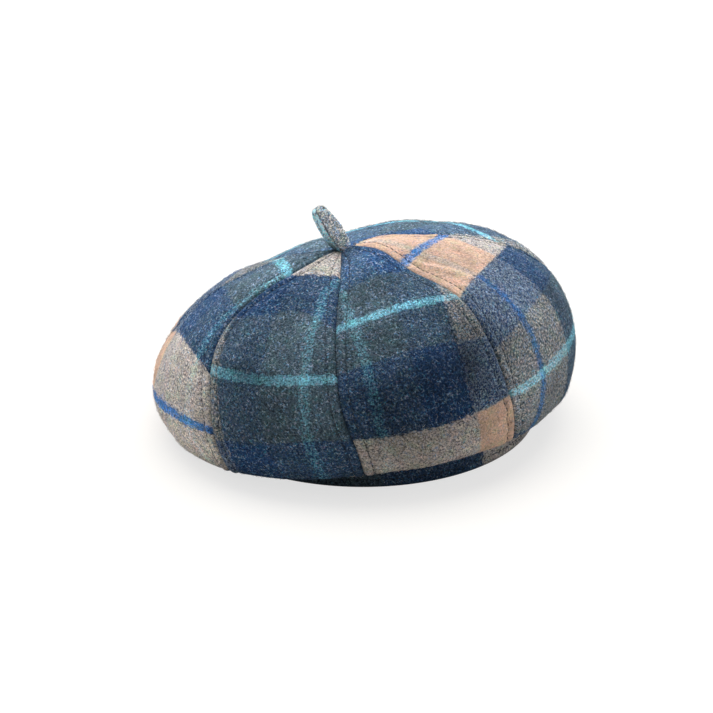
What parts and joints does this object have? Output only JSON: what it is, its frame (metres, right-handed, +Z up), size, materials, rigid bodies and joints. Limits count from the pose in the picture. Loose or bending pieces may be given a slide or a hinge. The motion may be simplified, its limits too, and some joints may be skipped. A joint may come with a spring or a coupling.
{
  "type": "plaid wool tam o' shanter",
  "caption": "Slouched, puffed crown of plaid wool gores over a self-cloth headband, with a short folded stem leaning from the apex. Open below for the head.",
  "frame": {"origin": "middle of the bounding box at the lower rim of the headband", "axes": "+Z up through the crown, +X towards the crown's full side and away from the stem's lean, the front seam faces -Y"},
  "size_m": [0.2312, 0.2276, 0.1204],
  "materials": {
    "crown_wool": "brushed plaid wool in slate blue, grey, turquoise and pale peach, matt and fuzzy",
    "band_wool": "the same brushed plaid wool, navy and grey along the band",
    "stem_wool": "grey melange wool with a turquoise side"
  },
  "bodies": {
    "root": {"crown_panel_1": "crown_wool", "crown_panel_2": "crown_wool", "crown_panel_3": "crown_wool", "crown_panel_4": "crown_wool", "crown_panel_5": "crown_wool", "crown_panel_6": "crown_wool", "crown_panel_7": "crown_wool", "crown_panel_8": "crown_wool", "headband": "band_wool", "stem": "stem_wool"}
  },
  "joints": []
}
